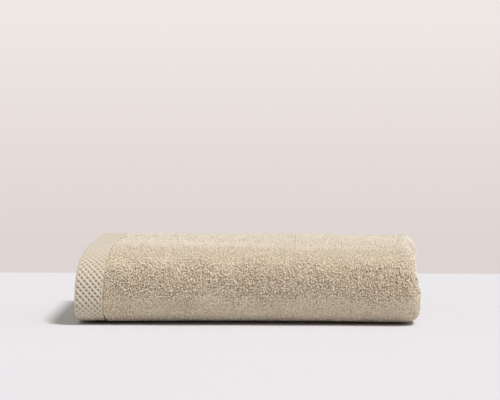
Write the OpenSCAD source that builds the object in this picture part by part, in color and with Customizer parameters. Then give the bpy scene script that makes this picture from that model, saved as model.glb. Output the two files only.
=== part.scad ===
// Bath towel folded for the shelf: one terry cloth, folded crosswise twice into a packet of four plies,
// and the packet then folded in thirds, the rear third first and the front third over the top.
// The two bordered ends lie at -X, the crosswise fold at +X, the front roll faces -Y and +Z is up.
// The origin is the middle of the footprint, on the surface that the towel lies on.

/* [Folded towel] */
// Length, from the bordered end to the plain folded end
folded_l = 350; // [300:5:400]
// Depth, from the front roll to the care label at the back
folded_d = 235; // [210:5:280]

/* [Terry cloth] */
// Thickness of one ply, with its pile lightly pressed
ply_t = 5.8; // [5:0.1:6.6]
// Gap between neighbouring plies
ply_gap = 0.3; // [0.2:0.05:0.5]

/* [Woven border] */
// Width of the flat honeycomb border at each end of the cloth
border_w = 29; // [20:1:45]
// Thickness of the border together with the hem turned under it
border_t = 3.2; // [2.4:0.1:4]

/* [Side hems] */
// Width of the hem along each long side of the cloth
side_hem_w = 10; // [8:1:14]
// Thickness of the side hem
side_hem_t = 4.4; // [3.6:0.1:4.8]

/* [Stitching] */
// Distance from one stitch to the next
stitch_pitch = 3; // [2.5:0.5:5]
// Length of one stitch
stitch_l = 2.2; // [1.5:0.1:2.4]

/* [Care label] */
// Width of the label along the side hem
label_w = 24; // [15:1:40]
// Distance from the bordered end to the label
label_from_end = 47; // [35:1:120]

/* [Hidden] */
$fn = 96;

terry_colour = [0.87, 0.81, 0.72];
border_colour = [0.90, 0.86, 0.79];
thread_colour = [0.93, 0.89, 0.82];
label_colour = [0.95, 0.94, 0.92];

ply_pitch = ply_t + ply_gap;
outer_mid = 1.5 * ply_pitch;            // middle of the outer layer's plies, from the packet's middle
inner_mid = 0.5 * ply_pitch;            // the same for the inner layer
packet_t = 4 * ply_t + 3 * ply_gap;
half_packet = packet_t / 2;
packet_gap = 0.4;                       // between one folded third and the next
third_pitch = packet_t + packet_gap;
bottom_z = half_packet;                 // middle height of each third
middle_z = bottom_z + third_pitch;
top_z = middle_z + third_pitch;

x_end = folded_l / 2;
x_fold = x_end - half_packet;           // axis of the crosswise fold at the plain end
x_pile = border_w - x_end;              // the outer border stops and the pile starts here
inner_inset = 3;                        // the inner border lies this far inside the outer one
half_inset = 4;                         // the first crosswise fold lies this far inside the bordered end
x_half = -x_end + half_inset + ply_t + ply_gap / 2;  // axis of the first crosswise fold
end_gap = 0.1;                          // between two zones of cloth that follow each other

y_hinge = half_packet - folded_d / 2;   // the front roll's two bends turn about this line
bend_gap = 0.4;                         // clearance of the upright front ply round both bends
label_drop = 1;                         // how far the label stands out behind the back fold
turn_r = packet_t + packet_gap / 2;     // outer radius of the back fold
y_turn = folded_d / 2 - label_drop - turn_r;
turn_z = packet_t + packet_gap / 2;
roll_room = 7;                          // room left in the roll, ahead of the middle third
y_middle_edge = y_hinge + half_packet + roll_room;  // free edge of the middle third, behind the front roll
label_free = 5.5;                       // how far the label stands out of the side hem
y_top_edge = folded_d / 2 - label_free; // free edge of the top third, at the back

stitch_w = 0.6;
stitch_h = 0.4;
stitch_inset = 1.2;                     // from the border's inner edge
side_stitch_inset = 7.5;                // from the free edge
label_t = 0.7;
label_clear = 1;                        // from the pile to the label, under the hem

// One ply seen along the roll: x along the towel, y through the packet
module ply_section(mid, t, from_x, to_x) {
    translate([from_x, mid - t / 2]) square([to_x - from_x, t]);
}

// Half of a ring round the origin, on the +X side
module half_ring(mid, t) {
    intersection() {
        difference() {
            circle(mid + t / 2);
            circle(mid - t / 2);
        }
        translate([0, -2 * packet_t]) square([2 * packet_t, 4 * packet_t]);
    }
}

// A layer that lies above and below the packet's middle and turns round the crosswise fold
module layer_section(mid, t, face_x, back_x) {
    ply_section(mid, t, face_x, x_fold);
    ply_section(-mid, t, back_x, x_fold);
    translate([x_fold, 0]) half_ring(mid, t);
}

// The outer layer goes on round the first crosswise fold, which joins it to the inner layer
module outer_section(t) {
    layer_section(outer_mid, t, x_pile + end_gap, x_half);
    translate([x_half, -ply_pitch]) mirror([1, 0]) half_ring(ply_pitch / 2, t);
}

module inner_section(t) {
    layer_section(inner_mid, t, x_pile + inner_inset + end_gap, x_half + end_gap);
}

module outer_border_section() {
    ply_section(outer_mid, border_t, -x_end, x_pile);
}

module inner_border_section() {
    ply_section(inner_mid, border_t, -x_end + inner_inset, x_pile + inner_inset);
}

// A flat third: the cloth's face looks up, or down when face_up is false
module lay(y0, y1, z, face_up) {
    translate([0, y1, z]) rotate([90, 0, 0]) linear_extrude(y1 - y0)
        mirror([0, face_up ? 0 : 1]) children();
}

// The upright part of the front roll, cut clear of the two bends that it turns on
module stand() {
    difference() {
        translate([0, y_hinge, bottom_z]) linear_extrude(top_z - bottom_z) mirror([0, 1]) children();
        for (z = [bottom_z, top_z])
            translate([-folded_l, y_hinge, z]) rotate([0, 90, 0])
                cylinder(h = 2 * folded_l, r = half_packet + bend_gap);
        translate([-folded_l, y_hinge, 0]) cube([2 * folded_l, packet_t, turn_z + packet_gap / 2]);
        translate([-folded_l, y_hinge, top_z - half_packet - packet_gap])
            cube([2 * folded_l, packet_t, packet_t]);
    }
}

// The fold at the back, from the bottom third round to the middle third
module turn_back() {
    translate([0, y_turn, turn_z]) rotate([0, 90, 0]) rotate_extrude(angle = 180)
        translate([half_packet + packet_gap / 2, 0]) mirror([1, 0]) rotate(90) children();
}

// The rounded front end of a third, where the whole packet turns into the front roll
module front_bend(z) {
    recess = half_packet - outer_mid - border_t / 2;
    color(terry_colour)
    translate([0, y_hinge, z]) rotate([0, 90, 0]) rotate([0, 0, 180]) rotate_extrude(angle = 180) {
        translate([0, -x_end]) square([half_packet - recess, border_w]);
        translate([0, x_pile]) square([half_packet, x_fold - x_pile]);
        intersection() {
            translate([0, x_fold]) circle(half_packet);
            translate([0, x_fold]) square(packet_t);
        }
    }
}

module stitch_row(count, step, size) {
    for (i = [0 : count - 1])
        translate(i * step) cube(size);
}

// Stitches along the border of a flat third
module border_row(y0, y1, z) {
    count = floor((y1 - y0) / stitch_pitch);
    color(thread_colour)
    translate([x_pile - stitch_inset, y0 + stitch_pitch / 2, z])
        stitch_row(count, [0, stitch_pitch, 0], [stitch_w, stitch_l, stitch_h]);
}

// Stitches along the side hem of a flat third
module side_row(y, z) {
    count = floor((x_fold - x_pile - 2 * stitch_pitch) / stitch_pitch);
    color(thread_colour)
    translate([x_pile + stitch_pitch, y, z])
        stitch_row(count, [stitch_pitch, 0, 0], [stitch_l, stitch_w, stitch_h]);
}

border_top = outer_mid + border_t / 2;
hem_top = outer_mid + side_hem_t / 2;
y_top_hem = y_top_edge - side_hem_w;
y_middle_hem = y_middle_edge + side_hem_w;

// Bottom third
module bottom_outer_layer() {
    color(terry_colour) lay(y_hinge, y_turn, bottom_z, false) outer_section(ply_t);
}
module bottom_inner_layer() {
    color(terry_colour) lay(y_hinge, y_turn, bottom_z, false) inner_section(ply_t);
}
module bottom_outer_border() {
    color(border_colour) lay(y_hinge, y_turn, bottom_z, false) outer_border_section();
}
module bottom_inner_border() {
    color(border_colour) lay(y_hinge, y_turn, bottom_z, false) inner_border_section();
}
module lower_front_bend() { front_bend(bottom_z); }
module bottom_border_stitching() { border_row(y_hinge, y_turn, bottom_z - border_top - stitch_h); }

// Back fold
module back_outer_layer() { color(terry_colour) turn_back() outer_section(ply_t); }
module back_inner_layer() { color(terry_colour) turn_back() inner_section(ply_t); }
module back_outer_border() { color(border_colour) turn_back() outer_border_section(); }
module back_inner_border() { color(border_colour) turn_back() inner_border_section(); }
module back_border_stitching() {
    row_r = half_packet + packet_gap / 2 + border_top;
    count = floor(PI * row_r / stitch_pitch);
    color(thread_colour)
    for (i = [0 : count - 1])
        translate([x_pile - stitch_inset, y_turn, turn_z])
            rotate([(i + 0.5) * 180 / count - 90, 0, 0])
                translate([0, row_r, -stitch_l / 2]) cube([stitch_w, stitch_h, stitch_l]);
}

// Middle third
module middle_outer_layer() {
    color(terry_colour) lay(y_middle_hem, y_turn, middle_z, true) outer_section(ply_t);
}
module middle_inner_layer() {
    color(terry_colour) lay(y_middle_hem, y_turn, middle_z, true) inner_section(ply_t);
}
module middle_outer_border() {
    color(border_colour) lay(y_middle_edge, y_turn, middle_z, true) outer_border_section();
}
module middle_inner_border() {
    color(border_colour) lay(y_middle_edge, y_turn, middle_z, true) inner_border_section();
}
module middle_border_stitching() { border_row(y_middle_edge, y_turn, middle_z + border_top); }
module middle_side_hem() { side_hem(y_middle_edge, y_middle_hem, middle_z); }
module middle_side_stitching() { side_row(y_middle_edge + side_stitch_inset, middle_z + hem_top); }

// Upright part of the front roll
module front_outer_layer() { color(terry_colour) stand() outer_section(ply_t); }
module front_inner_layer() { color(terry_colour) stand() inner_section(ply_t); }
module front_outer_border() { color(border_colour) stand() outer_border_section(); }
module front_inner_border() { color(border_colour) stand() inner_border_section(); }
module front_border_stitching() {
    clear_of_bend = sqrt(pow(half_packet + bend_gap, 2) - pow(outer_mid, 2));
    low_z = bottom_z + clear_of_bend;
    count = floor((top_z - clear_of_bend - low_z) / stitch_pitch);
    color(thread_colour)
    translate([x_pile - stitch_inset, y_hinge - border_top - stitch_h, low_z])
        stitch_row(count, [0, 0, stitch_pitch], [stitch_w, stitch_h, stitch_l]);
}

// Top third
module upper_front_bend() { front_bend(top_z); }
module top_outer_layer() {
    color(terry_colour) lay(y_hinge, y_top_hem, top_z, true) outer_section(ply_t);
}
module top_inner_layer() {
    color(terry_colour) lay(y_hinge, y_top_hem, top_z, true) inner_section(ply_t);
}
module top_outer_border() {
    color(border_colour) lay(y_hinge, y_top_edge, top_z, true) outer_border_section();
}
module top_inner_border() {
    color(border_colour) lay(y_hinge, y_top_edge, top_z, true) inner_border_section();
}
module top_border_stitching() { border_row(y_hinge, y_top_edge, top_z + border_top); }
module top_side_hem() { side_hem(y_top_hem, y_top_edge, top_z); }
module top_side_stitching() { side_row(y_top_edge - side_stitch_inset - stitch_w, top_z + hem_top); }

// Both layers of a third, turned in and sewn flat along the free edge
module side_hem(y0, y1, z) {
    color(border_colour) lay(y0, y1, z, true) {
        outer_section(side_hem_t);
        inner_section(side_hem_t);
    }
}

// Folded loop label, held under the side hem of the top third and standing out behind it
module care_label() {
    label_z = top_z - half_packet;
    color(label_colour)
    translate([-x_end + label_from_end, y_top_hem + label_clear, label_z])
        cube([label_w, folded_d / 2 - y_top_hem - label_clear, label_t]);
}

bottom_outer_layer();
bottom_inner_layer();
bottom_outer_border();
bottom_inner_border();
lower_front_bend();
back_outer_layer();
back_inner_layer();
back_outer_border();
back_inner_border();
middle_outer_layer();
middle_inner_layer();
middle_outer_border();
middle_inner_border();
middle_side_hem();
front_outer_layer();
front_inner_layer();
front_outer_border();
front_inner_border();
upper_front_bend();
top_outer_layer();
top_inner_layer();
top_outer_border();
top_inner_border();
top_side_hem();
bottom_border_stitching();
back_border_stitching();
middle_border_stitching();
front_border_stitching();
top_border_stitching();
middle_side_stitching();
top_side_stitching();
care_label();
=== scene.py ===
import math

import bpy
import numpy as np
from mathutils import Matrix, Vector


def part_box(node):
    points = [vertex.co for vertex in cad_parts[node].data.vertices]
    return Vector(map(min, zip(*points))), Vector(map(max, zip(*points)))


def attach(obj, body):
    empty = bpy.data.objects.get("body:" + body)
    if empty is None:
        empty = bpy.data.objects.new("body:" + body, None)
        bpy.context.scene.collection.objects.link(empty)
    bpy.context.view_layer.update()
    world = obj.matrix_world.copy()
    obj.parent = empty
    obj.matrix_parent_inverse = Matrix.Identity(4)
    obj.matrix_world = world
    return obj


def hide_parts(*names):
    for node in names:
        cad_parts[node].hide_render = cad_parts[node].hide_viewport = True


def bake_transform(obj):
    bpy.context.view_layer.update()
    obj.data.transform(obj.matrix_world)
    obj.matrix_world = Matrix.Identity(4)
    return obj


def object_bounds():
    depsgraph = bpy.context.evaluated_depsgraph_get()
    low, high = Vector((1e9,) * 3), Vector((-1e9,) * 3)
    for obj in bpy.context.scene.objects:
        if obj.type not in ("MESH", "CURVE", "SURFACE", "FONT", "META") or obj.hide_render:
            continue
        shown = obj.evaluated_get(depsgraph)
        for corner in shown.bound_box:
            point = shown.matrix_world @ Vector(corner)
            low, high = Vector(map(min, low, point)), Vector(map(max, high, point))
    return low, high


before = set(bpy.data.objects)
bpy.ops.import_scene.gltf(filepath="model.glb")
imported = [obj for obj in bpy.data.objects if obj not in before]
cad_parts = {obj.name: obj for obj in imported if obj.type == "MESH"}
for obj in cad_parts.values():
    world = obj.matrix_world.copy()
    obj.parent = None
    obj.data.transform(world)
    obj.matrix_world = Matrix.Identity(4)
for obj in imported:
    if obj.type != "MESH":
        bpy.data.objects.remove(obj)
cadLow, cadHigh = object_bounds()
print("towel: frame loaded")

mm = 0.001

# the folded towel's own lines, read from the frame
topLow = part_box("top_outer_layer")[0]
bottomLow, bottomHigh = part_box("bottom_outer_layer")
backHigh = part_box("back_outer_layer")[1]
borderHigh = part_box("top_outer_border")[1]
innerBorderLow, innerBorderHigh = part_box("top_inner_border")
hemLow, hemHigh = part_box("top_side_hem")
middleHemLow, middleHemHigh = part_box("middle_side_hem")
labelLow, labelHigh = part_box("care_label")

frontY = cadLow.y
endX = cadHigh.x
heightZ = cadHigh.z
packet = bottomHigh.z - bottomLow.z  # four plies
turnY = bottomHigh.y  # the back fold starts here
turnZ = backHigh.z / 2
foldX = endX - packet / 2  # axis of the crosswise fold
halfX = topLow.x + packet / 4  # axis of the first crosswise fold, at the bordered end
pileX = borderHigh.x  # the pile starts here, beside the outer border
innerPileX = innerBorderHigh.x
topHemY = hemLow.y
topEdgeY = hemHigh.y
middleHemY = middleHemHigh.y
middleEdgeY = middleHemLow.y

roll = {
    "bulgeZ": 0.38,  # the front roll stands out furthest here, as a share of the height
    "innerBulgeZ": 0.50,
    "innerStand": 24.0 * mm,  # from the roll's face to the room inside it
    "lowerStart": 24.0 * mm,  # the lower bend starts this far behind the face
    "upperStart": 66.0 * mm,
    "innerStart": 33.0 * mm,
    "lowerPower": 2.1,  # 2 is an ellipse, more is squarer
    "upperPower": 3.0,
}
softness = {
    "seed": 7,
    "waves": 0.9 * mm,  # height of the slow waves in the lying cloth
    "waveSize": 120 * mm,
    "dip": 2.0 * mm,  # the hollow across the top, towards the plain end
    "dipAt": 122.0 * mm,
    "dipWidth": 42.0 * mm,
    "slope": 6.5 * mm,  # the top falls this much towards the roll
    "slopeReach": 75.0 * mm,
    "loft": 7.0 * mm,  # a lightly pressed pile stands a little taller
    "lip": 3.5 * mm,  # the roll's lower edge stands off the table
    "lipReach": 30.0 * mm,
    "arch": 3.0 * mm,  # and this much more between its ends
    "crease": 0.55 * mm,  # short pressed creases across the top, towards the plain end
    "creaseAt": (118 * mm, 95 * mm),
    "creaseReach": (40 * mm, 45 * mm),
    "creaseSize": 17 * mm,
    "creaseStretch": 0.22,  # the lower, the longer they run across
    "faceWaves": 1.0 * mm,  # slow waves in the roll's face
    "faceWaveSize": 95 * mm,
    "faceReach": 30 * mm,
    "faceFoot": 12 * mm,  # they fade out below this height
    "leftInset": 3.6 * mm,  # the top plies end this far inside the bottom ones
    "leftTopInset": 4.8 * mm,  # and the very top of the bordered end this much more
    "rightInset": 4.8 * mm,
    "shoulder": (26 * mm, 58 * mm),  # heights between which the plain end draws in
    "shoulderBack": (90 * mm, 160 * mm),  # behind the face it swells out again instead
    "leftCurl": 3.0 * mm,  # the bottom corners of both ends curl in
    "rightCurl": 5.5 * mm,
    "curlHeight": 5.5 * mm,
    "curlReach": 60 * mm,
    "endWaves": 0.5 * mm,  # unevenness of the plain end
    "endWaveSize": 60 * mm,
}


# where the cloth runs
def mix(a, b, t):
    return a + (b - a) * t


def quarter(startY, endY, startZ, endZ, power, share):
    # a quarter of a rounded square, from lying to standing
    angle = share * math.pi / 2
    across = np.sin(angle) ** (2 / power)
    along = np.cos(angle) ** (2 / power)
    return np.stack([mix(startY, endY, across), mix(endZ, startZ, along)], axis=-1)


def line(startY, endY, z, share):
    return np.stack([mix(startY, endY, share), np.full_like(share, z)], axis=-1)


def evenly(points, count):
    step = np.linalg.norm(np.diff(points, axis=0), axis=1)
    run = np.concatenate([[0], np.cumsum(step)])
    wanted = np.linspace(0, run[-1], count)
    return np.stack([np.interp(wanted, run, points[:, i]) for i in (0, 1)], axis=-1)


# depth is 0 on the face that lies outside in the folded packet and 1 on its inner face
def startOf(name, depth):
    return frontY + mix(roll[name], roll["innerStart"], depth)


def faceOf(depth):
    # where the roll's face is, and the height at which it stands out furthest
    return frontY + roll["innerStand"] * depth, heightZ * mix(roll["bulgeZ"], roll["innerBulgeZ"], depth)


def lowerLie(depth, share):
    return line(turnY, startOf("lowerStart", depth), packet * depth, share)


def lowerBend(depth, share):
    faceY, bulge = faceOf(depth)
    return quarter(startOf("lowerStart", depth), faceY, packet * depth, bulge, roll["lowerPower"], share)


def upperBend(depth, share):
    faceY, bulge = faceOf(depth)
    z = heightZ - packet * depth
    return quarter(startOf("upperStart", depth), faceY, z, bulge, roll["upperPower"], share)[::-1]


def topLie(depth, share):
    return line(startOf("upperStart", depth), topHemY, heightZ - packet * depth, share)


def topHemLie(depth, share):
    return line(topHemY, topEdgeY, heightZ - packet * depth, share)


def backBend(depth, share):
    radius = turnZ - packet * depth
    angle = share * math.pi - math.pi / 2
    return np.stack([turnY + radius * np.cos(angle), turnZ + radius * np.sin(angle)], axis=-1)


def middleLie(depth, share):
    return line(turnY, middleHemY, turnZ * 2 - packet * depth, share)


def middleHemLie(depth, share):
    return line(middleHemY, middleEdgeY, turnZ * 2 - packet * depth, share)


zones = {
    "lower": [lowerLie, lowerBend],
    "upper": [upperBend, topLie],
    "back": [backBend, middleLie],
    "topHem": [topHemLie],
    "middleHem": [middleHemLie],
    "lowerAll": [lowerLie, lowerBend],
    "upperAll": [upperBend, topLie, topHemLie],
    "backAll": [backBend, middleLie, middleHemLie],
}
samples = np.linspace(0, 1, 241)


def rowCounts(zone, spacing):
    counts = []
    for part in zones[zone]:
        path = part(0.0, samples)
        length = np.linalg.norm(np.diff(path, axis=0), axis=1).sum()
        counts.append(max(2, int(round(length / spacing)) + 1))
    return counts


def slicePath(zone, depth, counts):
    parts = []
    for part, count in zip(zones[zone], counts):
        rows = evenly(part(depth, samples), count)
        parts.append(rows if not parts else rows[1:])
    return np.concatenate(parts)


def runLength(grid, axis):
    step = np.linalg.norm(np.diff(grid, axis=axis), axis=-1)
    run = np.cumsum(step, axis=axis)
    start = np.zeros_like(np.take(run, [0], axis=axis))
    return np.concatenate([start, run], axis=axis)


def flatColumns(fromX, toX, depth, spacing):
    count = max(2, int(round(abs(toX - fromX) / spacing)) + 1)
    return [("flat", x, depth) for x in np.linspace(fromX, toX, count)]


def turnColumns(x, fromDepth, toDepth, steps, side):
    # a half turn between two depths, bulging to +X or -X
    angles = np.linspace(0, math.pi, steps + 1)[1:-1]
    return [("turn", x, fromDepth, toDepth, a, side) for a in angles]


def sweep(zone, columns, counts):
    # points of a grid, rows along the folded path and columns across the towel
    cache = {}

    def rows(depth):
        key = round(depth, 5)
        if key not in cache:
            cache[key] = slicePath(zone, depth, counts)
        return cache[key]

    grid = []
    for column in columns:
        if column[0] == "flat":
            yz = rows(column[2])
            x = np.full(len(yz), column[1])
        else:
            _, centreX, fromDepth, toDepth, angle, side = column
            a, b = rows(fromDepth), rows(toDepth)
            yz = (a + b) / 2 + (a - b) / 2 * math.cos(angle)
            bulge = packet * abs(toDepth - fromDepth) / 2
            x = np.full(len(yz), centreX + side * bulge * math.sin(angle))
        grid.append(np.stack([x, yz[:, 0], yz[:, 1]], axis=-1))
    return np.stack(grid, axis=1)


def ripple(a, b, size, seed):
    # slow irregular waves, about -1 to 1
    draw = np.random.default_rng(seed)
    total = np.zeros_like(a)
    for _ in range(5):
        turn = draw.uniform(0, math.tau)
        scale = math.tau / (size * draw.uniform(0.7, 1.8))
        total += np.sin((a * math.cos(turn) + b * math.sin(turn)) * scale + draw.uniform(0, math.tau))
    return total / 3


def smooth(value, start, end):
    t = np.clip((value - start) / (end - start), 0, 1)
    return t * t * (3 - 2 * t)


def bell(value, reach):
    return np.exp(-(value / reach) ** 2)


def settle(points):
    # the small unevenness of a real folded towel, the same for every ply at one place
    s = softness
    p = points.reshape(-1, 3).copy()
    x, y, z = p.T.copy()
    behind = y - frontY
    lift = np.clip(z / heightZ, 0, 1.05)
    p[:, 2] += lift * s["waves"] * ripple(x, y, s["waveSize"], s["seed"])
    p[:, 2] -= lift ** 2 * s["dip"] * bell(x - s["dipAt"], s["dipWidth"])
    p[:, 2] += lift ** 2 * (s["loft"] - s["slope"] * np.exp(-behind / s["slopeReach"]))
    lip = s["lip"] + s["arch"] * np.cos(math.pi * x / (endX * 2))
    p[:, 2] += (1 - lift) ** 2 * lip * bell(behind, s["lipReach"])
    creased = bell(x - s["creaseAt"][0], s["creaseReach"][0])
    creased *= bell(behind - s["creaseAt"][1], s["creaseReach"][1])
    creases = ripple(x * s["creaseStretch"], y, s["creaseSize"], s["seed"] + 3)
    p[:, 2] += lift ** 4 * s["crease"] * creased * creases
    face = bell(behind, s["faceReach"]) * np.clip(z / s["faceFoot"], 0, 1)
    p[:, 1] += face * s["faceWaves"] * ripple(x, z, s["faceWaveSize"], s["seed"] + 1)
    low = bell(z, s["curlHeight"]) * np.clip(1 - behind / s["curlReach"], 0, 1)
    left = np.clip(-x / endX, 0, 1) ** 3
    right = np.clip(x / endX, 0, 1) ** 3
    p[:, 0] += left * s["leftTopInset"] * np.clip(lift, 0, 1) ** 8
    p[:, 0] += left * (s["leftInset"] * lift ** 2 + s["leftCurl"] * low)
    drawnIn = smooth(z, *s["shoulder"]) * (1 - 1.5 * smooth(behind, *s["shoulderBack"]))
    p[:, 0] -= right * (s["rightInset"] * drawnIn + s["rightCurl"] * low)
    p[:, 0] += right * s["endWaves"] * ripple(y, z, s["endWaveSize"], s["seed"] + 2)
    return p.reshape(points.shape)


def gridFaces(rowCount, columnCount, offset=0, flip=False):
    index = np.arange(rowCount * columnCount).reshape(rowCount, columnCount) + offset
    faces = np.stack([index[:-1, :-1], index[:-1, 1:], index[1:, 1:], index[1:, :-1]], axis=-1).reshape(-1, 4)
    return faces[:, ::-1] if flip else faces


def rimFaces(rowCount, columnCount, flip=False):
    index = np.arange(rowCount * columnCount).reshape(rowCount, columnCount)
    ring = np.concatenate([index[0, :], index[1:, -1], index[-1, -2::-1], index[-2:0:-1, 0]])
    after = np.roll(ring, -1)
    other = rowCount * columnCount
    faces = np.stack([after, ring, ring + other, after + other], axis=-1)
    return faces[:, ::-1] if flip else faces


def linked(name, data):
    obj = bpy.data.objects.new(name, data)
    bpy.context.scene.collection.objects.link(obj)
    return obj


def meshObject(name, points, faces, uv=None):
    mesh = bpy.data.meshes.new(name)
    mesh.from_pydata(points.reshape(-1, 3).tolist(), [], faces.tolist())
    if uv is not None:
        layer = mesh.uv_layers.new(name="cloth")
        corner = np.empty(len(mesh.loops), dtype=np.int64)
        mesh.loops.foreach_get("vertex_index", corner)
        layer.data.foreach_set("uv", uv.reshape(-1, 2)[corner].astype(np.float32).ravel())
    mesh.polygons.foreach_set("use_smooth", np.full(len(mesh.polygons), True))
    mesh.update()
    return linked(name, mesh)


def keepValues(piece, name, values):
    # one number for each point of the mesh, or the same number for all, read by pile and materials
    values = np.broadcast_to(values, len(piece.data.vertices)).astype(np.float32)
    piece.data.attributes.new(name, "FLOAT", "POINT").data.foreach_set("value", values)


def signedVolume(points, faces):
    a, b, c, d = (points[faces[:, i]] for i in range(4))
    return (np.einsum("ij,ij->i", a, np.cross(b, c)) + np.einsum("ij,ij->i", a, np.cross(c, d))).sum() / 6


def closedSheet(name, outer, inner):
    # a cloth with thickness, from the grids of its two faces
    rows, columns = outer.shape[:2]
    points = np.concatenate([outer.reshape(-1, 3), inner.reshape(-1, 3)])
    faces = np.concatenate([
        gridFaces(rows, columns),
        gridFaces(rows, columns, rows * columns, flip=True),
        rimFaces(rows, columns),
    ])
    if signedVolume(points, faces) < 0:
        faces = faces[:, ::-1]
    across, along = runLength(outer, 1), runLength(outer, 0)
    uv = np.stack([across, along], axis=-1)
    return meshObject(name, points, faces, np.concatenate([uv.reshape(-1, 2), uv.reshape(-1, 2)]))


def openPatch(name, grid, outward):
    # a bare surface that pile will stand on; outward is the way its faces have to look
    faces = gridFaces(*grid.shape[:2])
    points = grid.reshape(-1, 3)
    a, b, _, d = points[faces[len(faces) // 2]]
    if np.cross(b - a, d - a) @ np.array(outward) < 0:
        faces = faces[:, ::-1]
    return meshObject(name, points, faces)


nap = {
    "lowEdge": (17 * mm, 43 * mm),  # heights between which the loops start to stand
    "highEdge": (57 * mm, 70 * mm),  # and lie down again
    "backEdge": (12 * mm, 44 * mm),  # behind the roll's face most of them lie flat
    "backPressed": 0.85,
    "wander": 8.0 * mm,  # unevenness of those heights
    "wanderSize": 60 * mm,
    "rest": 0.06,
    "foldedIn": 0.25,  # on the faces inside the folds
    "borderEdge": (2 * mm, 7 * mm),  # beside the border they are held down
    "borderRest": 0.15,
}


def standing(piece):
    # how far the loops stand up: pressed flat on top and near the table, raised round the shoulder
    x, y, z = np.array([v.co[:] for v in piece.data.vertices]).T
    height = z + nap["wander"] * ripple(x, y + z, nap["wanderSize"], softness["seed"] + 4)
    raised = smooth(height, *nap["lowEdge"]) * (1 - smooth(height, *nap["highEdge"]))
    raised *= 1 - nap["backPressed"] * smooth(y - frontY, *nap["backEdge"])
    raised = np.maximum(raised, nap["rest"])
    return raised * mix(nap["borderRest"], 1, smooth(x - pileX, *nap["borderEdge"]))


def give(tree, socket, value):
    # another node's output becomes a link, anything else the socket's own value
    if isinstance(value, bpy.types.NodeSocket):
        tree.links.new(value, socket)
    else:
        socket.default_value = value


def makeNode(tree, kind, inputs=(), **settings):
    node = tree.nodes.new(kind)
    for name, value in settings.items():
        setattr(node, name, value)
    for socket, value in dict(inputs).items():
        give(tree, node.inputs[socket], value)
    return node


def mathNode(tree, operation, *values):
    return makeNode(tree, "ShaderNodeMath", enumerate(values), operation=operation).outputs[0]


def summed(tree, start, *parts):
    # start, plus each part's value times its weight
    total = start
    for value, weight in parts:
        total = mathNode(tree, "MULTIPLY_ADD", value, weight, total)
    return total


def attributeValue(tree, name):
    return makeNode(tree, "ShaderNodeAttribute", attribute_name=name).outputs["Fac"]


def objectPlace(tree):
    return tree.nodes.new("ShaderNodeTexCoord").outputs["Object"]


def noiseValue(tree, scale, detail):
    inputs = {"Scale": scale, "Detail": detail, "Vector": objectPlace(tree)}
    return makeNode(tree, "ShaderNodeTexNoise", inputs).outputs["Fac"]


def rampColour(tree, level, stops):
    ramp = makeNode(tree, "ShaderNodeValToRGB", {"Fac": level})
    elements = ramp.color_ramp.elements
    while len(elements) < len(stops):
        elements.new(0.5)
    for element, (place, colour) in zip(elements, stops):
        element.position = place
        element.color = (*colour, 1)
    return ramp.outputs["Color"]


def nodeMaterial(name):
    material = bpy.data.materials.new(name)
    material.use_nodes = True
    tree = material.node_tree
    tree.nodes.clear()
    return material, tree


def finishMaterial(tree, colour, rough, relief, bump, invert=False, **shine):
    # bump is the strength and the depth that relief's full range stands for
    normal = makeNode(tree, "ShaderNodeBump", {
        "Height": relief,
        "Strength": bump[0],
        "Distance": bump[1],
    }, invert=invert)
    shader = makeNode(tree, "ShaderNodeBsdfPrincipled", {
        "Base Color": colour,
        "Roughness": rough,
        "Normal": normal.outputs["Normal"],
        "Sheen Weight": shine["sheen"],
        "Specular IOR Level": shine["specular"],
    })
    makeNode(tree, "ShaderNodeOutputMaterial", {"Surface": shader.outputs["BSDF"]})


cottonColours = {
    "rootShade": (0.57, 0.43, 0.275),  # painted shade, down between the loops
    "side": (0.84, 0.73, 0.55),
    "tip": (0.93, 0.86, 0.735),
    # painted shade: the ground is coloured darker than the yarn, for the gaps between the loops
    "ground": (0.50, 0.37, 0.24),
    "flatWeave": (0.715, 0.65, 0.53),
    # painted shade, for the honeycomb's pits
    "flatShade": (0.48, 0.39, 0.285),
    "thread": (0.84, 0.77, 0.66),
    "label": (0.86, 0.85, 0.82),
}
cottonLook = {
    "shadeWeight": 0.15,  # how much lighter one loop is than another
    "patchWeight": 0.16,  # and one patch of the pile than another
    "napHighlightWeight": 0.28,  # painted light: standing loops are painted lighter, as they catch more light
    "pileBase": -0.10,
    "loopScale": 430,  # loops in a metre of the ground weave
    "groundBase": 0.72,
    "groundNapShadeWeight": -0.22,  # painted shade, darker between standing loops
    "reliefShadeWeight": 0.72,  # painted shade on the flat weaves: raised cords are lighter, the pits between them darker
    "flatPatchWeight": 0.30,
    "ribWeight": 0.16,
}


def cottonRamp(tree, level, places):
    # the cotton's own colours, each at its place along level
    return rampColour(tree, level, [(place, cottonColours[name]) for name, place in places.items()])


def pileYarn():
    # looped yarn, painted darker down towards its root as shade, with fine twist and loose fibre
    material, tree = nodeMaterial("pileYarn")
    fibre = noiseValue(tree, 2600, 2)
    height = summed(
        tree, cottonLook["pileBase"],
        (attributeValue(tree, "tip"), 1),
        (attributeValue(tree, "shade"), cottonLook["shadeWeight"]),
        (noiseValue(tree, 34, 3), cottonLook["patchWeight"]),
        # painted light: lighter where the loops stand
        (attributeValue(tree, "nap"), cottonLook["napHighlightWeight"]),
    )
    # painted shade: the yarn's colour runs from the tip down to a darker root
    colour = cottonRamp(tree, height, {"rootShade": 0.0, "side": 0.45, "tip": 0.95})
    rough = summed(tree, 0.84, (fibre, 0.14))
    finishMaterial(tree, colour, rough, fibre, bump=(0.5, 0.25 * mm), sheen=0.5, specular=0.15)
    return material


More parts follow.
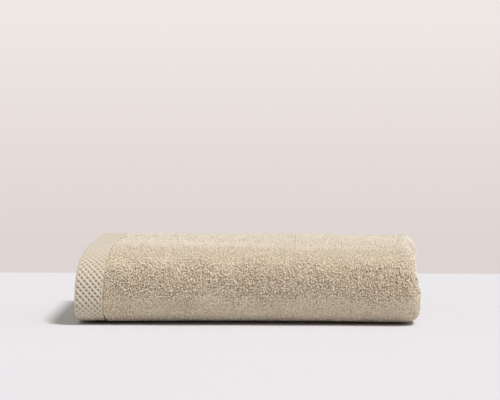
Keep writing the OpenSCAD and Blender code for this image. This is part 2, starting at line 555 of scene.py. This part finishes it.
def groundWeave():
    # the woven ground that the loops grow from, seen only in the gaps and painted darker there as shade
    material, tree = nodeMaterial("groundWeave")
    loops = makeNode(tree, "ShaderNodeTexVoronoi", {
        "Scale": cottonLook["loopScale"],
        "Vector": objectPlace(tree),
    }).outputs["Distance"]
    patches = noiseValue(tree, 60, 4)
    # painted shade: darker at the sunken edges of the loop cells and between standing loops
    blend = summed(
        tree, cottonLook["groundBase"],
        (loops, -0.9),
        (patches, 0.3),
        (attributeValue(tree, "nap"), cottonLook["groundNapShadeWeight"]),
    )
    colour = cottonRamp(tree, blend, {"ground": 0.1, "side": 0.55, "tip": 0.95})
    rough = summed(tree, 0.86, (patches, 0.1))
    finishMaterial(tree, colour, rough, loops, bump=(0.9, 1.2 * mm), invert=True, sheen=0.2, specular=0.15)
    return material


def flatWeave(name, base, shade, ribScale):
    # tight flat weave with fine ribs both ways, on the cloth's own directions
    material, tree = nodeMaterial(name)
    cloth = makeNode(tree, "ShaderNodeUVMap", uv_map="cloth").outputs["UV"]
    ribs = []
    for turn in (0, math.pi / 2):
        place = makeNode(tree, "ShaderNodeMapping", {"Rotation": (0, 0, turn), "Vector": cloth})
        wave = makeNode(tree, "ShaderNodeTexWave", {
            "Scale": ribScale,
            "Distortion": 0.6,
            "Detail": 1,
            "Vector": place.outputs["Vector"],
        }, bands_direction="X")
        ribs.append(wave.outputs["Fac"])
    weave = mathNode(tree, "MULTIPLY", *ribs)
    # painted shade: low relief, in the pits, is coloured towards the shade colour
    level = summed(
        tree, 0,
        (attributeValue(tree, "relief"), cottonLook["reliefShadeWeight"]),
        (noiseValue(tree, 70, 4), cottonLook["flatPatchWeight"]),
        (weave, cottonLook["ribWeight"]),
    )
    colour = cottonRamp(tree, level, {shade: 0.15, base: 0.85})
    rough = summed(tree, 0.7, (weave, 0.15))
    finishMaterial(tree, colour, rough, weave, bump=(0.5, 0.2 * mm), sheen=0.15, specular=0.2)
    return material


pileMaterial = pileYarn()
groundMaterial = groundWeave()
borderMaterial = flatWeave("honeycombBorder", "flatWeave", "flatShade", 330)
hemMaterial = flatWeave("sideHemWeave", "flatWeave", "flatShade", 420)
threadMaterial = flatWeave("hemThread", "thread", "flatWeave", 900)
labelMaterial = flatWeave("labelRibbon", "label", "flatWeave", 520)
print("towel: materials made")


def geometryTree(name, sockets):
    # a tree with a mesh in, a mesh out and named inputs
    tree = bpy.data.node_groups.new(name, "GeometryNodeTree")
    tree.is_modifier = True
    tree.interface.new_socket(name="Geometry", in_out="INPUT", socket_type="NodeSocketGeometry")
    for label, (kind, value) in sockets.items():
        socket = tree.interface.new_socket(name=label, in_out="INPUT", socket_type="NodeSocket" + kind)
        if value is not None:
            socket.default_value = value
    tree.interface.new_socket(name="Geometry", in_out="OUTPUT", socket_type="NodeSocketGeometry")
    return tree, tree.nodes.new("NodeGroupInput").outputs


def finishTree(tree, instances, material):
    real = makeNode(tree, "GeometryNodeRealizeInstances", {"Geometry": instances})
    paint = makeNode(tree, "GeometryNodeSetMaterial", {
        "Geometry": real.outputs["Geometry"],
        "Material": material,
    })
    makeNode(tree, "NodeGroupOutput", {"Geometry": paint.outputs["Geometry"]})
    return tree


def randomNumber(tree, kind, low, high, seed=0):
    first = {"FLOAT_VECTOR": 0, "FLOAT": 1, "INT": 2}[kind]
    inputs = {first * 2: low, first * 2 + 1: high, "Seed": seed}
    return makeNode(tree, "FunctionNodeRandomValue", inputs, data_type=kind).outputs[first]


loopCurves = (  # start, start handle, end handle and end of one loop, one unit high
    ((-0.22, 0, -0.2), (-0.42, 0.16, 1.10), (0.40, -0.14, 1.20), (0.22, 0.06, -0.2)),
    ((-0.18, 0.05, -0.2), (-0.52, -0.28, 1.00), (0.24, 0.30, 1.30), (0.26, -0.06, -0.2)),
    ((-0.28, 0, -0.2), (-0.16, 0.36, 1.00), (0.60, 0.16, 1.10), (0.18, -0.10, -0.2)),
    ((-0.20, -0.06, -0.2), (-0.36, -0.12, 1.35), (0.62, 0.30, 0.90), (0.24, 0.10, -0.2)),
)
loopRandom = {
    "size": (0.85, 1.15),
    "stand": (0.60, 1.25),  # height of a standing loop, as a share of its size
    "clumpScale": 300,
    "clump": (3.2, -1.3),  # neighbours stand up together: noise times this, plus this
    "least": 0.45,
    "leanByNap": (0.85, 0.15),  # pressed loops lie all one way, standing ones lean about
}


def pileTree():
    # scatters leaning yarn loops, thin three-sided tubes, over a surface
    tree, given = geometryTree("pileLoops", {
        "Spacing": ("Float", 2 * mm),
        "Loop Height": ("Float", 3 * mm),
        "Yarn Radius": ("Float", 0.2),
        "Lean": ("Float", 0.7),
        "Pressed": ("Float", 0.6),
        "Seed": ("Int", 1),
        "Material": ("Material", None),
    })
    spread = makeNode(tree, "GeometryNodeDistributePointsOnFaces", {
        "Mesh": given["Geometry"],
        "Distance Min": given["Spacing"],
        "Density Max": 900000,
        "Seed": given["Seed"],
    }, distribute_method="POISSON")
    ring = makeNode(tree, "GeometryNodeCurvePrimitiveCircle", {
        "Resolution": 3,
        "Radius": given["Yarn Radius"],
    })
    position = tree.nodes.new("GeometryNodeInputPosition").outputs["Position"]
    upward = makeNode(tree, "ShaderNodeSeparateXYZ", {"Vector": position}).outputs["Z"]
    shapes = tree.nodes.new("GeometryNodeJoinGeometry")
    for start, startHandle, endHandle, end in loopCurves:
        curve = makeNode(tree, "GeometryNodeCurvePrimitiveBezierSegment", {
            "Resolution": 4,
            "Start": start,
            "Start Handle": startHandle,
            "End Handle": endHandle,
            "End": end,
        })
        tube = makeNode(tree, "GeometryNodeCurveToMesh", {
            "Curve": curve.outputs["Curve"],
            "Profile Curve": ring.outputs["Curve"],
        })
        rounded = makeNode(tree, "GeometryNodeSetShadeSmooth", {"Geometry": tube.outputs["Mesh"]})
        keepTip = makeNode(tree, "GeometryNodeStoreNamedAttribute", {
            "Name": "tip",
            "Geometry": rounded.outputs["Geometry"],
            "Value": upward,
        }, data_type="FLOAT", domain="POINT")
        one = makeNode(tree, "GeometryNodeGeometryToInstance", {"Geometry": keepTip.outputs["Geometry"]})
        give(tree, shapes.inputs["Geometry"], one.outputs["Instances"])

    napNode = makeNode(tree, "GeometryNodeInputNamedAttribute", {"Name": "nap"}, data_type="FLOAT")
    napValue = napNode.outputs[0]
    size = mathNode(tree, "MULTIPLY", randomNumber(tree, "FLOAT", *loopRandom["size"]), given["Loop Height"])
    noise = makeNode(tree, "ShaderNodeTexNoise", {"Scale": loopRandom["clumpScale"], "Detail": 1})
    clump = mathNode(tree, "MULTIPLY_ADD", noise.outputs["Fac"], *loopRandom["clump"])
    stand = mathNode(tree, "ADD", randomNumber(tree, "FLOAT", *loopRandom["stand"], seed=3), clump)
    stand = mathNode(tree, "MAXIMUM", stand, loopRandom["least"])
    raised = makeNode(tree, "ShaderNodeMix", {0: napValue, 2: given["Pressed"], 3: stand}, data_type="FLOAT")
    tall = mathNode(tree, "MULTIPLY", size, raised.outputs[0])
    scale = makeNode(tree, "ShaderNodeCombineXYZ", {"X": size, "Y": size, "Z": tall})
    place = makeNode(tree, "GeometryNodeInstanceOnPoints", {
        "Points": spread.outputs["Points"],
        "Instance": shapes.outputs["Geometry"],
        "Pick Instance": True,
        "Instance Index": randomNumber(tree, "INT", 0, len(loopCurves) - 1, given["Seed"]),
        "Rotation": spread.outputs["Rotation"],
        "Scale": scale.outputs["Vector"],
    })
    turn = makeNode(tree, "GeometryNodeRotateInstances", {
        "Instances": place.outputs["Instances"],
        "Rotation": randomNumber(tree, "FLOAT_VECTOR", (0, 0, 0), (0, 0, math.tau)),
    })
    lean = mathNode(tree, "MULTIPLY_ADD", napValue, *loopRandom["leanByNap"])
    lean = mathNode(tree, "MULTIPLY", given["Lean"], lean)
    lean = mathNode(tree, "MULTIPLY", randomNumber(tree, "FLOAT", -1, 1, seed=5), lean)
    leanAngle = makeNode(tree, "ShaderNodeCombineXYZ", {"X": lean})
    tilt = makeNode(tree, "GeometryNodeRotateInstances", {
        "Instances": turn.outputs["Instances"],
        "Rotation": leanAngle.outputs["Vector"],
    })
    keepShade = makeNode(tree, "GeometryNodeStoreNamedAttribute", {
        "Name": "shade",
        "Geometry": tilt.outputs["Instances"],
        "Value": randomNumber(tree, "FLOAT", 0, 1, seed=9),
    }, data_type="FLOAT", domain="INSTANCE")
    return finishTree(tree, keepShade.outputs["Geometry"], given["Material"])


pileNodes = pileTree()


def growOn(carrier, tree, name, values):
    # runs a tree on the carrier and keeps its result as a plain mesh piece
    modifier = carrier.modifiers.new("grow", "NODES")
    modifier.node_group = tree
    for item in tree.interface.items_tree:
        if item.item_type == "SOCKET" and item.in_out == "INPUT" and item.name in values:
            modifier[item.identifier] = values[item.name]
    graph = bpy.context.evaluated_depsgraph_get()
    mesh = bpy.data.meshes.new_from_object(carrier.evaluated_get(graph))
    mesh.name = name
    carrier.modifiers.remove(modifier)
    bpy.data.objects.remove(carrier)
    return linked(name, mesh)


pile = {
    "tipRoom": 1.5 * mm,  # the loops stand this far above the woven ground
    "lean": 0.8,
    "pressed": 0.50,  # height of a pressed loop, as a share of a standing one's
    "firstSeed": 11,
    "overlap": 0.1,  # of a row, so that no bare line shows where two pieces of pile meet
    # yarn is its radius, as a share of the loop's height
    "shown": {"spacing": 1.42 * mm, "height": 2.05 * mm, "yarn": 0.25},
    "foldedIn": {"spacing": 2.5 * mm, "height": 2.1 * mm, "yarn": 0.27},
}
groove = {"width": 1.4 * mm, "depth": 1.0 * mm}  # the narrow channel between border and pile
terry = {"outerSpacing": 3.5 * mm, "innerSpacing": 6.0 * mm}
groundDepth = pile["tipRoom"] / packet
pileStartX = pileX + groove["width"] / 2 + 0.4 * mm
plyShare = 0.25
plySlack = 0.01
zoneNames = ("lower", "upper", "back")


def moveWith(piece, zone):
    if zone.startswith("lower"):
        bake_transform(piece)
    elif zone.startswith("upper"):
        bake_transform(piece)
    elif zone.startswith("top"):
        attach(piece, "top_third")
    else:
        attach(piece, "folded_base")
    return piece


def foldedColumns(fromX, depth, steps, spacing):
    # out to the crosswise fold, round it and back to the first fold, at one depth in the cloth
    columns = flatColumns(fromX, foldX, depth, spacing)
    columns += turnColumns(foldX, depth, 1 - depth, steps, 1)
    columns += flatColumns(foldX, halfX, 1 - depth, spacing)
    return columns


def outerLayerFaces(zone, spacing, counts):
    # the half of the towel that lies outside: from the groove beside the border, round the crosswise
    # fold, and on round the first crosswise fold at the bordered end
    deep = (pile["tipRoom"] + groove["depth"]) / packet
    grooveEnd = pileX + groove["width"] / 2
    inside = plyShare - plySlack
    outside = (deep, groundDepth, 0.5 + plySlack)
    faces = []
    for start, depth, last in (outside, (inside, inside, 1 - plyShare - plySlack)):
        columns = [("flat", pileX - 3 * mm, start), ("flat", grooveEnd - 0.6 * mm, start)]
        columns += foldedColumns(grooveEnd, depth, 12, spacing)
        columns += turnColumns(halfX, 1 - depth, last, 6, -1)
        columns += [("flat", halfX, last)]
        faces.append(settle(sweep(zone, columns, counts)))
    return faces


def innerLayerFaces(zone, spacing, counts):
    return [
        settle(sweep(zone, foldedColumns(innerPileX, depth, 8, spacing), counts))
        for depth in (plyShare + plySlack, 0.5 - plySlack)
    ]


layers = {}
for zone in zoneNames:
    for layer, makeFaces, spacing in (
        ("Outer", outerLayerFaces, terry["outerSpacing"]),
        ("Inner", innerLayerFaces, terry["innerSpacing"]),
    ):
        sheet = closedSheet(zone + layer + "Terry", *makeFaces(zone, spacing, rowCounts(zone, spacing)))
        sheet.data.materials.append(groundMaterial)
        if layer == "Outer":
            keepValues(sheet, "nap", standing(sheet))
        layers[zone + layer] = sheet
print("towel: terry layers made")

piles = {zone: [] for zone in zoneNames}


def pileOn(zone, name, columns, outward, rows=slice(None), hidden=False):
    grid = settle(sweep(zone, columns, rowCounts(zone, terry["outerSpacing"])))[rows]
    before = grid[:1] + (grid[:1] - grid[1:2]) * pile["overlap"]
    after = grid[-1:] + (grid[-1:] - grid[-2:-1]) * pile["overlap"]
    carrier = openPatch(name + "Carrier", np.concatenate([before, grid, after]), outward)
    keepValues(carrier, "nap", nap["foldedIn"] if hidden else standing(carrier))
    look = pile["foldedIn"] if hidden else pile["shown"]
    piece = growOn(carrier, pileNodes, name, {
        "Spacing": look["spacing"],
        "Loop Height": look["height"],
        "Yarn Radius": look["yarn"],
        "Lean": pile["lean"],
        "Pressed": pile["pressed"],
        "Seed": pile["firstSeed"] + sum(len(grown) for grown in piles.values()),
        "Material": pileMaterial,
    })
    piles[zone].append(piece)
    print("towel: pile", name, len(piece.data.polygons) * 2)


def faceColumns(fromX, toX, depth):
    return flatColumns(fromX, toX, depth, terry["outerSpacing"])


thirdX = (foldX - pileX) / 3
for part in range(3):
    startX = max(pileX + thirdX * part, pileStartX)
    columns = faceColumns(startX, pileX + thirdX * (part + 1), groundDepth)
    pileOn("upper", f"topPile{part + 1}", columns, (0, 0, 1))
wholeFace = faceColumns(pileStartX, foldX, groundDepth)
bendStart = rowCounts("lower", terry["outerSpacing"])[0] - 4
pileOn("lower", "lowerRollPile", wholeFace, (0, -1, -0.3), slice(bendStart, None))
endColumns = [("flat", foldX, groundDepth)]
endColumns += turnColumns(foldX, groundDepth, 1 - groundDepth, 12, 1)
endColumns += [("flat", foldX, 1 - groundDepth)]
for zone in zoneNames:
    pileOn(zone, zone + "FoldedEndPile", endColumns, (1, 0, 0))
backRows = rowCounts("back", terry["outerSpacing"])[0] + 4
pileOn("back", "backFoldPile", wholeFace, (0, 1, 0), slice(0, backRows))
firstFoldColumns = [("flat", halfX, 1 - groundDepth)]
firstFoldColumns += turnColumns(halfX, 1 - groundDepth, 0.5 + plySlack, 6, -1)
for zone in zoneNames:
    pileOn(zone, zone + "FirstFoldPile", firstFoldColumns, (-1, 0, 0))
print("towel: visible pile grown")

# faces that only show when the front roll is laid open
foldedIn = faceColumns(foldX, halfX, 1 - groundDepth)
pileOn("upper", "topUndersidePile", foldedIn, (0, 0, -1), hidden=True)
pileOn("lower", "rollInsidePile", foldedIn, (0, 1, 0), slice(bendStart - 6, None), hidden=True)
pileOn("back", "middleThirdPile", wholeFace, (0, 0, 1), slice(backRows - 1, None), hidden=True)
print("towel: folded-in pile grown")

# woven borders
honeycomb = {
    "acrossPitch": 6.0 * mm,
    "alongPitch": 6.4 * mm,
    "cord": 0.56,  # a raised cord's half width, as a share of the way between two cords
    "over": 0.22,  # the cords of one slant pass this much lower than the other's
    "depth": 1.5 * mm,
    "level": 0.75,  # relief at this share of the depth lies on the band's own surface
    "edge": 1.6 * mm,  # plain strip on each side
    "edgeLevel": 0.8,
    "faceDepth": 1.3 * mm,  # the band lies this far below the loops' tips
    "innerFaceDepth": 1.2 * mm,
    "thickness": 4.2 * mm,
    "grid": 0.62 * mm,
    "plainGrid": 2.4 * mm,
}


def honeycombRelief(across, along, width):
    u = across / honeycomb["acrossPitch"]
    v = along / honeycomb["alongPitch"]
    ridge = np.zeros_like(u)
    for slant, top in ((u + v, 1), (u - v, 1 - honeycomb["over"])):
        away = np.abs(slant % 1 - 0.5) * 2 / honeycomb["cord"]
        ridge = np.maximum(ridge, top * np.sqrt(np.clip(1 - away ** 2, 0, 1)))
    edge = np.clip(np.minimum(across, width - across) / honeycomb["edge"], 0, 1) ** 3
    return mix(honeycomb["edgeLevel"], ridge, edge)


borderRuns = {}  # keeps the pattern in step from one zone to the next


def borderPiece(zone, name, fromX, toX, faceDepth, detailed):
    # a flat band with a rounded outer edge
    spacing = honeycomb["grid"] if detailed else honeycomb["plainGrid"]
    counts = rowCounts(zone, spacing)
    half = honeycomb["thickness"] / 2
    mid = (faceDepth + half) / packet
    places = []
    for angle in np.linspace(math.pi, math.pi / 2, 5)[:-1]:
        places.append((fromX + half + half * math.cos(angle), half * math.sin(angle)))
    for x in np.linspace(fromX + half, toX, max(3, int(round((toX - fromX) / spacing)))):
        places.append((x, half))
    outer = settle(sweep(zone, [("flat", x, mid - lift / packet) for x, lift in places], counts))
    inner = settle(sweep(zone, [("flat", x, mid + lift / packet) for x, lift in places], counts))
    across = runLength(outer, 1)
    along = runLength(outer, 0)
    run = along - along[-1:] if zone.startswith("lower") else along
    if detailed:
        if zone.startswith("back"):
            run = -(borderRuns["lowerAll"] + along)
        borderRuns[zone] = along[-1:]
    relief = honeycombRelief(across - half * 0.5, run, toX - fromX)
    away = outer - inner
    away /= np.maximum(np.linalg.norm(away, axis=-1, keepdims=True), 0.2 * mm)
    if detailed:
        outer = outer + away * ((relief - honeycomb["level"]) * honeycomb["depth"])[..., None]
    sheet = closedSheet(name, outer, inner)
    keepValues(sheet, "relief", np.concatenate([relief.ravel(), np.full(relief.size, 0.6)]))
    sheet.data.materials.append(borderMaterial)
    return sheet


borderStartX = cadLow.x - 1.0 * mm
borderEndX = pileX - groove["width"]
innerBorderEndX = innerPileX + 0.5 * mm
innerDepth = packet * plyShare + honeycomb["innerFaceDepth"]
borders = {}
for zone in zoneNames:
    borders[zone + "Outer"] = borderPiece(
        zone + "All", zone + "OuterBorder", borderStartX, borderEndX, honeycomb["faceDepth"], True)
    borders[zone + "Inner"] = borderPiece(
        zone + "All", zone + "InnerBorder", innerBorderLow.x, innerBorderEndX, innerDepth, False)
print("towel: borders woven")

sideHem = {
    "thickness": 4.2 * mm,
    "spacing": 2.5 * mm,
    "rows": 9,
    "roundedFrom": 0.78,  # share of the hem's width, from the pile to the cloth's edge
    "channelAt": 0.28,  # the stitches draw in a shallow channel here
    "channelReach": 0.12,
    "channelLeft": 0.82,  # the thickness left there, as a share
    "plies": ((0.125, borderEndX), (0.375, innerPileX)),  # the middle of each ply, and where it starts
}


def hemPiece(zone, name):
    half = sideHem["thickness"] / 2 / packet
    along = np.linspace(0, 1, sideHem["rows"])
    past = np.clip((along - sideHem["roundedFrom"]) / (1 - sideHem["roundedFrom"]), 0, 1)
    full = np.sqrt(np.clip(1 - past ** 2, 0.02, 1))
    away = np.clip(np.abs(along - sideHem["channelAt"]) / sideHem["channelReach"], 0, 1)
    full *= mix(sideHem["channelLeft"], 1, away)
    strips = []
    for depth, startX in sideHem["plies"]:
        outer, inner = [
            sweep(zone, foldedColumns(startX, depth + side * half, 8, sideHem["spacing"]), [sideHem["rows"]])
            for side in (-1, 1)
        ]
        middle = (outer + inner) / 2
        outer = settle(middle + (outer - middle) * full[:, None, None])
        inner = settle(middle + (inner - middle) * full[:, None, None])
        strips.append(closedSheet(name, outer, inner))
    bpy.ops.object.select_all(action="DESELECT")
    for strip in strips:
        keepValues(strip, "relief", 0.6)
        strip.select_set(True)
    bpy.context.view_layer.objects.active = strips[0]
    bpy.ops.object.join()
    strips[0].name = name
    strips[0].data.materials.append(hemMaterial)
    return strips[0]


hems = {"top": hemPiece("topHem", "topSideHem"), "middle": hemPiece("middleHem", "middleSideHem")}
print("towel: side hems sewn")

stitch = {
    "pitch": 3.0 * mm,
    "length": 2.2 * mm,
    "thread": 0.13,  # thread radius, as a share of the stitch's length
    "step": 1.5 * mm,  # between the points of the line that they follow
    "fromBorderEdge": 1.0 * mm,
    "hemRow": 7,  # of 26 across the side hem, from the pile
}


def stitchTree():
    # lays short arched stitches along a line
    tree, given = geometryTree("hemStitches", {
        "Pitch": ("Float", 3 * mm),
        "Stitch Length": ("Float", 2 * mm),
        "Thread Radius": ("Float", 0.13),
        "Material": ("Material", None),
    })
    path = makeNode(tree, "GeometryNodeMeshToCurve", {"Mesh": given["Geometry"]})
    steps = makeNode(tree, "GeometryNodeResampleCurve", {
        "Curve": path.outputs["Curve"],
        "Length": given["Pitch"],
    }, mode="LENGTH")
    arch = makeNode(tree, "GeometryNodeCurveQuadraticBezier", {
        "Resolution": 5,
        "Start": (-0.5, 0, -0.14),
        "Middle": (0, 0, 0.30),
        "End": (0.5, 0, -0.14),
    })
    ring = makeNode(tree, "GeometryNodeCurvePrimitiveCircle", {
        "Resolution": 6,
        "Radius": given["Thread Radius"],
    })
    tube = makeNode(tree, "GeometryNodeCurveToMesh", {
        "Curve": arch.outputs["Curve"],
        "Profile Curve": ring.outputs["Curve"],
        "Fill Caps": True,
    })
    outward = makeNode(tree, "GeometryNodeInputNamedAttribute", {"Name": "outward"}, data_type="FLOAT_VECTOR")
    alongLine = makeNode(tree, "FunctionNodeAlignRotationToVector", {
        "Vector": tree.nodes.new("GeometryNodeInputTangent").outputs["Tangent"],
    }, axis="X")
    upright = makeNode(tree, "FunctionNodeAlignRotationToVector", {
        "Rotation": alongLine.outputs["Rotation"],
        "Vector": outward.outputs[0],
    }, axis="Z", pivot_axis="X")
    place = makeNode(tree, "GeometryNodeInstanceOnPoints", {
        "Points": steps.outputs["Curve"],
        "Instance": tube.outputs["Mesh"],
        "Rotation": upright.outputs["Rotation"],
        "Scale": given["Stitch Length"],
    })
    return finishTree(tree, place.outputs["Instances"], given["Material"])


stitchNodes = stitchTree()


def sewn(name, line, below):
    # stitches along a line of points; below is the same line a little deeper in the cloth
    mesh = bpy.data.meshes.new(name + "Line")
    mesh.from_pydata(line.tolist(), [(i, i + 1) for i in range(len(line) - 1)], [])
    away = line - below
    away /= np.linalg.norm(away, axis=-1, keepdims=True)
    outward = mesh.attributes.new("outward", "FLOAT_VECTOR", "POINT")
    outward.data.foreach_set("vector", away.astype(np.float32).ravel())
    return growOn(linked(name + "Line", mesh), stitchNodes, name, {
        "Pitch": stitch["pitch"],
        "Stitch Length": stitch["length"],
        "Thread Radius": stitch["thread"],
        "Material": threadMaterial,
    })


def borderStitches(zone):
    x = borderEndX - stitch["fromBorderEdge"]
    depth = honeycomb["faceDepth"] / packet
    counts = rowCounts(zone + "All", stitch["step"])
    lines = [settle(sweep(zone + "All", [("flat", x, d)], counts))[:, 0] for d in (depth, depth + 0.04)]
    return sewn(zone + "BorderStitches", *lines)


def hemStitches(name):
    lines = []
    for share in (0.80, 0.60):
        depth = 0.125 - sideHem["thickness"] / 2 / packet * share
        columns = foldedColumns(pileX, depth, 16, stitch["step"])
        lines.append(settle(sweep(name + "Hem", columns, [26]))[stitch["hemRow"]])
    return sewn(name + "HemStitches", *lines)


borderThreads = {zone: borderStitches(zone) for zone in zoneNames}
hemThreads = {name: hemStitches(name) for name in ("top", "middle")}
print("towel: hems stitched")

label = {
    "thickness": 0.24 * mm,
    "gap": 0.40 * mm,  # between the two leaves
    "droop": 2.4 * mm,  # the loose end hangs this far down
    "wave": 0.35 * mm,
    "waveTurns": 420,  # radians in a metre
}


def careLabel():
    # a blank ribbon folded in two, with its open end sewn under the side hem
    y = mix(labelLow.y, labelHigh.y - label["gap"], np.linspace(0, 1, 14))
    free = np.clip((y - topEdgeY) / (labelHigh.y - topEdgeY), 0, 1)
    middleZ = (labelLow.z + labelHigh.z) / 2 - label["droop"] * free ** 2
    halfGap = label["gap"] / 2
    turn = np.linspace(math.pi / 2, -math.pi / 2, 7)[1:-1]
    pathY = np.concatenate([y, y[-1] + halfGap * np.cos(turn), y[::-1]])
    pathZ = np.concatenate([middleZ + halfGap, middleZ[-1] + halfGap * np.sin(turn), middleZ[::-1] - halfGap])
    tangent = np.stack([np.gradient(pathY), np.gradient(pathZ)], axis=-1)
    tangent /= np.linalg.norm(tangent, axis=-1, keepdims=True)
    normal = np.stack([-tangent[:, 1], tangent[:, 0]], axis=-1)
    faces = []
    for side in (0.5, -0.5):
        offset = normal * label["thickness"] * side
        columns = []
        for x in np.linspace(labelLow.x, labelHigh.x, 13):
            places = [np.full_like(pathY, x), pathY + offset[:, 0], pathZ + offset[:, 1]]
            columns.append(np.stack(places, axis=-1))
        grid = np.stack(columns, axis=1)
        loose = np.clip((grid[..., 1] - topEdgeY) / (labelHigh.y - topEdgeY), 0, 1)
        grid[..., 2] += label["wave"] * loose * np.sin((grid[..., 0] - labelLow.x) * label["waveTurns"])
        faces.append(settle(grid))
    piece = closedSheet("careLabel", *faces)
    keepValues(piece, "relief", 0.7)
    piece.data.materials.append(labelMaterial)
    return piece


ribbon = careLabel()
print("towel: care label sewn in")

# what each piece stands for and how it moves
zoneParts = {"lower": ["bottom"], "upper": ["top", "front"], "back": ["middle", "back"]}
zoneBends = {"lower": ["lower_front_bend"], "upper": ["upper_front_bend"], "back": []}


def nodesOf(zone, ending):
    return [part + ending for part in zoneParts[zone]]


for zone in zoneNames:
    for layer, other in (("Outer", "Inner"), ("Inner", "Outer")):
        sheet = moveWith(layers[zone + layer], zone)
        nodes = nodesOf(zone, f"_{layer.lower()}_layer")
        grown = []
        if layer == "Outer":
            nodes += zoneBends[zone]
            grown = piles[zone]
        for piece in grown:
            moveWith(piece, zone)
        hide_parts(*nodes)
for zone in zoneNames:
    for layer in ("Outer", "Inner"):
        border = moveWith(borders[zone + layer], zone)
        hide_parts(*nodesOf(zone, f"_{layer.lower()}_border"))
    thread = moveWith(borderThreads[zone], zone)
    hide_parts(*nodesOf(zone, "_border_stitching"))
for name, zone in (("top", "upper"), ("middle", "back")):
    hem = moveWith(hems[name], name + "Hem")
    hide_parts(name + "_side_hem")
    thread = moveWith(hemThreads[name], name + "Hem")
    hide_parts(name + "_side_stitching")
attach(ribbon, "top_third")
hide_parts("care_label")

studio = {
    "cameraDistance": 2.15,  # in front of the roll's face
    "cameraHeight": 0.2425,
    "cameraSide": 0.0654,
    "cameraTurn": 1.68,  # degrees to the left of straight ahead
    "cameraPitch": 3.05,  # degrees down
    "lens": 154.3,
    "tableBehind": 0.6174,  # from the roll's face to the table's far edge
    "tableReach": 6.0,
    "tableColour": (0.755, 0.753, 0.785),
    "ambient": 0.46,
    "ambientColour": (1.0, 0.945, 0.865),
    "sunPower": 2.55,
    "sunTilt": 28,  # degrees off straight down, from the right
    "sunAhead": 17,  # and from the front
    "sunSoftness": 13,
    "sunColour": (1.0, 1.0, 1.03),
    # painted light: the backdrop runs from darker low to lighter high, as the wall is lit more at the top
    "backdropLow": (0.735, 0.66, 0.64),
    "backdropHigh": (0.86, 0.80, 0.775),
    "backdropSpan": (-0.075, 0.03),  # heights of the view direction between those two
}


def tableTop(name, thickness):
    reach = studio["tableReach"]
    corners = []
    for z in (-thickness, 0):
        for y in (-reach, frontY + studio["tableBehind"]):
            corners += [(-reach, y, z), (reach, y, z)]
    sides = [(4, 5, 7, 6), (0, 2, 3, 1), (0, 1, 5, 4), (2, 6, 7, 3), (0, 4, 6, 2), (1, 3, 7, 5)]
    mesh = bpy.data.meshes.new(name)
    mesh.from_pydata(corners, [], sides)
    colour = studio["tableColour"]
    material, tree = nodeMaterial(name)
    shader = makeNode(tree, "ShaderNodeBsdfPrincipled", {
        "Base Color": rampColour(tree, noiseValue(tree, 1.5, 2), [
            (0.3, tuple(c * 0.985 for c in colour)),
            (0.7, colour),
        ]),
        "Roughness": 0.75,
        "Specular IOR Level": 0.2,
    })
    makeNode(tree, "ShaderNodeOutputMaterial", {"Surface": shader.outputs["BSDF"]})
    mesh.materials.append(material)
    linked(name, mesh)


def studioWorld():
    # even light from all round, and a pale wall colour behind the table, painted lighter towards the top
    world = bpy.data.worlds.new("studioWorld")
    world.use_nodes = True
    tree = world.node_tree
    tree.nodes.clear()
    direction = tree.nodes.new("ShaderNodeTexCoord").outputs["Generated"]
    span = makeNode(tree, "ShaderNodeMapRange", {
        "Value": makeNode(tree, "ShaderNodeSeparateXYZ", {"Vector": direction}).outputs["Z"],
        "From Min": studio["backdropSpan"][0],
        "From Max": studio["backdropSpan"][1],
    })
    wallColour = rampColour(tree, span.outputs["Result"], [
        (0.0, studio["backdropLow"]),
        (1.0, studio["backdropHigh"]),
    ])
    wall = makeNode(tree, "ShaderNodeBackground", {"Color": wallColour})
    light = makeNode(tree, "ShaderNodeBackground", {
        "Color": (*studio["ambientColour"], 1),
        "Strength": studio["ambient"],
    })
    choose = makeNode(tree, "ShaderNodeMixShader", {
        "Fac": tree.nodes.new("ShaderNodeLightPath").outputs["Is Camera Ray"],
        1: light.outputs["Background"],
        2: wall.outputs["Background"],
    })
    makeNode(tree, "ShaderNodeOutputWorld", {"Surface": choose.outputs["Shader"]})
    return world


def studioCamera():
    data = bpy.data.cameras.new("studioCamera")
    data.lens = studio["lens"]
    data.sensor_width = 36
    camera = linked("studioCamera", data)
    camera.location = (studio["cameraSide"], frontY - studio["cameraDistance"], studio["cameraHeight"])
    camera.rotation_euler = (math.radians(90 - studio["cameraPitch"]), 0, math.radians(studio["cameraTurn"]))
    return camera


def studioSun():
    data = bpy.data.lights.new("overheadLight", "SUN")
    data.energy = studio["sunPower"]
    data.angle = math.radians(studio["sunSoftness"])
    data.color = studio["sunColour"]
    sun = linked("overheadLight", data)
    sun.location = (0.5, 0, 1.2)
    sun.rotation_euler = (math.radians(studio["sunAhead"]), math.radians(studio["sunTilt"]), 0)


tableTop("whiteTable", 0.03)
studioSun()
bpy.context.scene.camera = studioCamera()
bpy.context.scene.world = studioWorld()
bpy.context.scene.view_settings.view_transform = "Standard"
print("towel: studio set")
